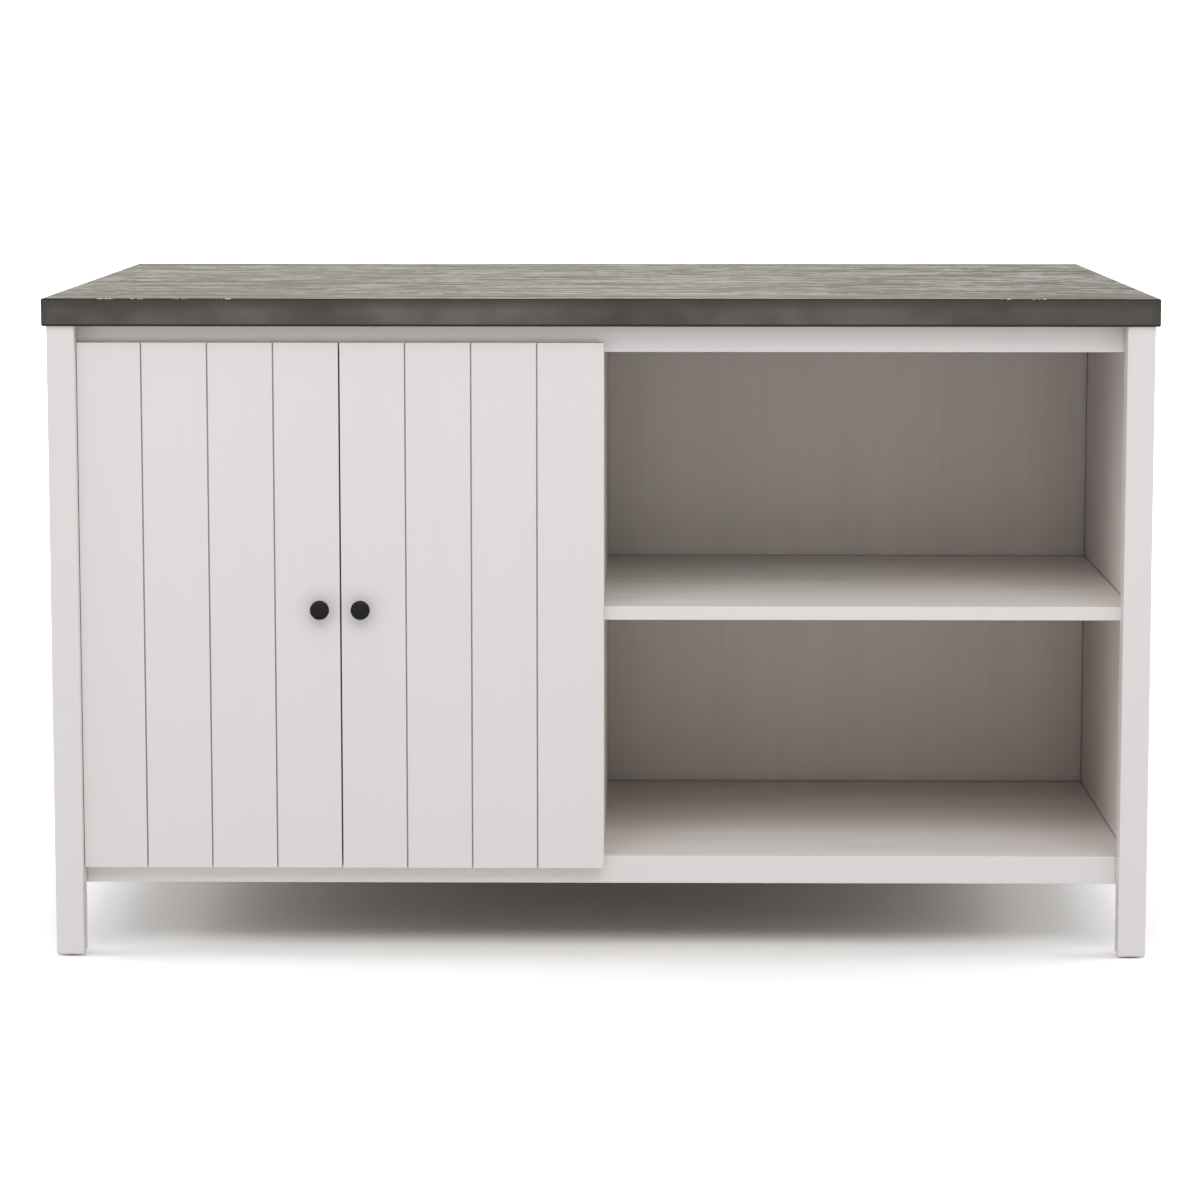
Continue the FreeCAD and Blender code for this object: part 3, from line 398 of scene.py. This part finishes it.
looks = {
    "table_top": oak_top(),
    # front legs: painted shade below the tabletop and painted warm bounce light near the floor
    "front_left_leg": paint("paint_post_a", "Z", off=(0.3, 0, 0), dim=[("Z", top_lo, 0.08, 0.36, 0.035), PAINTED_BOUNCE_WARMTH]),
    "front_right_leg": paint("paint_post_b", "Z", off=(1.7, 0.4, 0), dim=[("Z", top_lo, 0.08, 0.36, 0.035), PAINTED_BOUNCE_WARMTH]),
    "rear_left_leg": paint("paint_post_c", "Z", off=(2.9, 0.8, 0)),
    "rear_right_leg": paint("paint_post_d", "Z", off=(4.1, 1.2, 0)),
    # doors: painted shade in the plank grooves, a painted shadow around the knob and painted warm bounce light near the
    # floor
    "left_door": paint("paint_door_a", "Z", off=(5.3, 0, 0), knob=(-0.3861, 0.486), dim=[PAINTED_BOUNCE_WARMTH],
                       grooves=[-0.3581 - k * 0.09035 for k in (1, 2, 3)]),
    "right_door": paint("paint_door_b", "Z", off=(6.1, 0, 0), knob=(-0.3301, 0.486), dim=[PAINTED_BOUNCE_WARMTH],
                        grooves=[-0.3581 + k * 0.09035 for k in (1, 2, 3)]),
    # back panel: a darker copy of the inside paint, with painted shade towards the bay's sides, the shelf, the floor
    # board and the bottom, and thin painted shade lines at the joints
    "back_panel": paint("paint_back", "Z", (0.574, 0.522, 0.484), 1.4, off=(7.7, 0, 0), outward=("Y", 1), dim=[
        ("X", 0.370, 0.372, 0.270, 0.13),
        ("X", 0.735, 0.0010, 0.0022, 0.32), ("X", 0.735, 0.002, 0.014, 0.08), ("X", 0.005, 0.001, 0.006, 0.08),
        ("Z", 0.4777, 0.0104, 0.0116, 0.22), ("Z", 0.4777, 0.0104, 0.0200, 0.09),
        ("Z", 0.1363, 0.0010, 0.0022, 0.30), ("Z", 0.1363, 0.0020, 0.0120, 0.09),
        ("Z", 0.100, 0.040, 0.340, 0.14)]),
    # left side panel: the inside paint tone, with a painted shade line along its front edge
    "left_side_panel": paint("paint_side_a", "Z", INSIDE, 0.6, off=(8.3, 0, 0), outward=("X", -1),
                             seam=[("Y", -0.4894, 0.0010, 0.0026, 0.30)]),
    # right side panel: a lighter copy of the inside paint, painted light towards the front edge, painted shade towards
    # the back and in the lower bay, and painted shade lines at the joints and along the front edge
    "right_side_panel": paint("paint_side_b", "Z", (0.690, 0.632, 0.605), 0.8, off=(9.1, 0, 0), outward=("X", 1), seam=[("Y", -0.4894, 0.0010, 0.0026, 0.30)], dim=[
        ("Y", 0.1166, 0.010, 0.480, 0.16), ("Y", 0.1166, 0.004, 0.009, 0.20),
        ("Y", -0.4900, 0.060, 0.420, -0.31), ("Z", 0.3020, 0.150, 0.178, 0.15),
        ("Z", 0.4777, 0.0108, 0.0120, 0.34), ("Z", 0.1363, 0.0014, 0.0026, 0.34)]),
    # centre divider: a darker copy of the inside paint, painted shade
    "centre_divider": paint("paint_divider", "Z", (0.570, 0.528, 0.478), 0.6, off=(10.3, 0, 0)),
    # right shelf: a lighter copy of the inside paint as painted light, painted shade towards the back and lines at the
    # joints, and painted light on the front edge and its arrises
    "right_fixed_shelf": paint("paint_shelf_a", "X", (0.690, 0.640, 0.603), 2.2, off=(0, 1.1, 0), dim=[
        ("Y", 0.1166, 0.006, 0.014, 0.36), ("Y", 0.1166, 0.020, 0.420, 0.10),
        ("X", 0.735, 0.0018, 0.0030, 0.38)], outward=("Y", -1), seam=[("Y", shelf_face, 0.0004, 0.0016, (-0.040, -0.030, -0.022))]),
    "left_adjustable_shelf": paint("paint_shelf_b", "X", INSIDE, 0.7, off=(0, 2.3, 0)),
    # floor board: a slightly lighter copy of the inside paint as painted light, with painted shade towards the back and
    # painted shade lines at the joints; its underside is bare board
    "bottom_panel": paint("paint_floor_board", "X", (0.612, 0.572, 0.546), 2.2, off=(0, 3.7, 0), raw=True, dim=[
        ("Y", 0.1166, 0.006, 0.014, 0.36), ("Y", 0.1166, 0.200, 0.520, 0.18),
        ("X", 0.735, 0.0018, 0.0030, 0.38)]),
    # top rail: painted shade just below the tabletop and a painted shade line at the right leg; painted light along its
    # lower edge, over the doors, and most just above the doors
    "front_top_rail": paint("paint_rail_a", "X", off=(0, 4.1, 0), dim=[
        ("Z", top_lo, 0.001, 0.016, 0.20), ("X", 0.718, 0.0012, 0.0028, 0.24), ("Z", rail_lo, 0.004, 0.026, -0.06),
        ("X", -0.360, 0.350, 0.376, (-0.11, -0.115, -0.08)),
        ("Z", door_top - 0.002, 0.001, 0.014, (-0.20, -0.21, -0.18), "X", -0.360, 0.348, 0.372)]),
    # bottom rail: painted shade lines at the legs, and painted light, a little redder, under the open bay
    "front_bottom_rail": paint("paint_rail_b", "X", off=(0, 5.9, 0), dim=[
        ("X", 0.718, 0.0012, 0.0028, 0.26), ("X", -0.718, 0.0012, 0.0028, 0.26),
        ("X", 0.360, 0.340, 0.372, (-0.022, -0.010, -0.002))]),
    "cabinet_rear_rail": paint("paint_rail_c", "X", off=(0, 6.3, 0)),
    # aprons: painted shade lines where they meet the legs
    "rear_apron": paint("paint_apron_a", "X", off=(0, 7.7, 0), seam=[
        ("X", 0.718, 0.0010, 0.0026, 0.30), ("X", -0.718, 0.0010, 0.0026, 0.30)]),
    "left_side_apron": paint("paint_apron_b", "Y", off=(0, 8.1, 0), seam=[
        ("Y", apron_lo, 0.0010, 0.0026, 0.30), ("Y", apron_hi, 0.0010, 0.0026, 0.30)]),
    "right_side_apron": paint("paint_apron_c", "Y", off=(0, 9.9, 0), seam=[
        ("Y", apron_lo, 0.0010, 0.0026, 0.30), ("Y", apron_hi, 0.0010, 0.0026, 0.30)]),
}
looks["cabinet_kick_board"] = looks["cabinet_rear_rail"]
looks["left_cabinet_foot"] = looks["rear_left_leg"]
looks["right_cabinet_foot"] = looks["rear_right_leg"]

by_slot = {
    "white_paint": looks["rear_left_leg"],
    "steel": zinc(),
    "white_steel": powder("powder_coat"),
    "black_knob": black_metal(),
    "dark_plastic": moulded("plastic_dark", (0.020, 0.020, 0.020), (0.032, 0.032, 0.033), 0.48, 0.62),
    "white_plastic": moulded("plastic_white", (0.66, 0.65, 0.63), (0.72, 0.71, 0.69), 0.36, 0.48),
    "clear_rubber": rubber(),
    "raw_wood": beech("beech_x", "X"),
    "grey_oak": looks["table_top"],
}
slot_of = {p["node"]: p["material_slot"] for p in frame["record"]["subparts"]}
for name, ob in nodes.items():
    look = looks.get(name) or by_slot[slot_of[name]]
    ob.data.materials.clear()
    ob.data.materials.append(look)

# ---------------------------------------------------------------- stage
floor_mesh = bpy.data.meshes.new("floor")
R = 9.0
floor_mesh.from_pydata([(-R, -R, 0), (R, -R, 0), (R, R, 0), (-R, R, 0)], [], [(0, 1, 2, 3)])
floor = bpy.data.objects.new("floor", floor_mesh)
scene.collection.objects.link(floor)
fm = Mat("floor_pale")
haze = fm.noise(fm.scaled(1.5, 1.5, 1.5), detail=2.0)
# white to the eye, but it throws less light back up than a real white floor would
seen = fm.t.nodes.new("ShaderNodeLightPath").outputs["Is Camera Ray"]
away = fm.t.nodes.new("ShaderNodeVectorMath")
away.operation = "LENGTH"
fm.t.links.new(fm.co, away.inputs[0])
pale = fm.ramp(haze, [(0.3, (0.945, 0.945, 0.945)), (0.7, (0.955, 0.955, 0.955))])
# painted bounce light: the floor is painted warmer below the object, for the light thrown down from its brown underside
painted_bounce_mask = fm.math("MULTIPLY", fm.span(away.outputs["Value"], 0.86, 0.44), fm.span(fm.axis("Y"), -0.60, -0.46))
pale = fm.mix(painted_bounce_mask, pale, fm.mix(1.0, pale, (1.01, 0.985, 0.945), "MULTIPLY"))
fm.put("Base Color", fm.mix(seen, (0.595, 0.572, 0.572), pale))
fm.set(Roughness=0.42, Specular_IOR_Level=0.3)
# the floor fades into the white of the studio a few metres out
fade = fm.t.nodes.new("ShaderNodeMixShader")
clear = fm.t.nodes.new("ShaderNodeBsdfTransparent")
fm.t.links.new(fm.span(away.outputs["Value"], 1.9, 4.6), fade.inputs[0])
fm.t.links.new(fm.b.outputs[0], fade.inputs[1])
fm.t.links.new(clear.outputs[0], fade.inputs[2])
fm.t.links.new(fade.outputs[0], fm.out.inputs[0])
floor.data.materials.append(fm.m)

FRONT_DOME = [(-0.02, 1.80), (0.04, 1.08), (0.30, 0.76), (0.75, 1.30)]
world = bpy.data.worlds.new("studio")
scene.world = world
world.use_nodes = True
wt = world.node_tree
wt.nodes.clear()
w_out = wt.nodes.new("ShaderNodeOutputWorld")
w_mix = wt.nodes.new("ShaderNodeMixShader")
w_fill = wt.nodes.new("ShaderNodeBackground")
# the dome is brightest overhead; in front of the object it is dim just above the
# horizon and bright below it, where a wide white floor would be
w_dir = wt.nodes.new("ShaderNodeTexCoord")
w_xyz = wt.nodes.new("ShaderNodeSeparateXYZ")
wt.links.new(w_dir.outputs["Generated"], w_xyz.inputs[0])


def span(source, a, b):
    n = wt.nodes.new("ShaderNodeMapRange")
    n.inputs["From Min"].default_value = a
    n.inputs["From Max"].default_value = b
    wt.links.new(w_xyz.outputs[source], n.inputs["Value"])
    return n.outputs[0]


def dome(stops):
    """Radiance by height: each stop is (sine of the elevation, radiance)."""
    n = wt.nodes.new("ShaderNodeValToRGB")
    e = n.color_ramp.elements
    while len(e) < len(stops):
        e.new(0.5)
    for el, (z, v) in zip(e, stops):
        el.position = 0.5 + 0.5 * z
        el.color = (v / 2, v / 2, v / 2, 1.0)
    wt.links.new(span("Z", -1.0, 1.0), n.inputs[0])
    return n.outputs[0]


w_side = wt.nodes.new("ShaderNodeMix")
w_side.data_type = "RGBA"
wt.links.new(span("Y", 0.1, -0.6), w_side.inputs[0])
wt.links.new(dome([(-0.02, 0.90), (0.75, 1.30)]), w_side.inputs[6])
wt.links.new(dome(FRONT_DOME), w_side.inputs[7])
wt.links.new(w_side.outputs[2], w_fill.inputs["Color"])
w_fill.inputs["Strength"].default_value = 2.0
w_seen = wt.nodes.new("ShaderNodeBackground")
w_seen.inputs["Color"].default_value = (1.0, 1.0, 1.0, 1.0)
w_seen.inputs["Strength"].default_value = 3.0
w_path = wt.nodes.new("ShaderNodeLightPath")
wt.links.new(w_path.outputs["Is Camera Ray"], w_mix.inputs[0])
wt.links.new(w_fill.outputs[0], w_mix.inputs[1])
wt.links.new(w_seen.outputs[0], w_mix.inputs[2])
wt.links.new(w_mix.outputs[0], w_out.inputs[0])


def softbox(name, at, aim, size, watts, only=None):
    d = bpy.data.lights.new(name, "AREA")
    d.shape = "RECTANGLE"
    d.size, d.size_y = size
    d.energy = watts
    ob = bpy.data.objects.new(name, d)
    scene.collection.objects.link(ob)
    ob.location = at
    ob.rotation_mode = "QUATERNION"
    ob.rotation_quaternion = (Vector(aim) - Vector(at)).to_track_quat("-Z", "Y")
    ob.visible_camera = False
    if only:
        ob.light_linking.receiver_collection = only
    return ob


softbox("front_high", (0, -4.6, 4.9), (0, -0.4, 0.5), (7.0, 3.4), 245)
# low lights from both sides, for the floor under the object
ground = bpy.data.collections.new("ground")
ground.objects.link(floor)
softbox("floor_left", (-4.3, -0.2, 1.1), (0, -0.2, 0.0), (3.0, 2.0), 140, ground)
softbox("floor_right", (4.3, -0.2, 1.1), (0, -0.2, 0.0), (3.0, 2.0), 140, ground)
softbox("side_left", (-4.3, -0.2, 1.6), (0, -0.2, 0.4), (3.0, 2.0), 36)
softbox("side_right", (4.3, -0.2, 1.6), (0, -0.2, 0.4), (3.0, 2.0), 36)

# ---------------------------------------------------------------- camera
YAW, PITCH = -0.0111, 0.129
cam_data = bpy.data.cameras.new("camera")
cam_data.sensor_width = 36.0
cam_data.lens = 119.39
cam = bpy.data.objects.new("camera", cam_data)
scene.collection.objects.link(cam)
cam.location = (0.0599, -5.9473, 1.204)
ahead = Vector((math.sin(YAW) * math.cos(PITCH), math.cos(YAW) * math.cos(PITCH), -math.sin(PITCH)))
cam.rotation_mode = "QUATERNION"
cam.rotation_quaternion = ahead.to_track_quat("-Z", "Y")
scene.camera = cam

scene.view_settings.view_transform = "Standard"
scene.view_settings.look = "None"
# soft shoulder for the highlights, as on a photograph
scene.view_settings.use_curve_mapping = True
tone = scene.view_settings.curve_mapping
TONE_WHITE = 1.3
tone.white_level = (TONE_WHITE,) * 3
curve = tone.curves[3]
TONE = [(0.30, 0.30), (0.50, 0.475), (0.70, 0.61), (1.0, 0.74), (1.15, 0.88)]
for x, y in TONE:
    curve.points.new(x / TONE_WHITE, y)
tone.update()
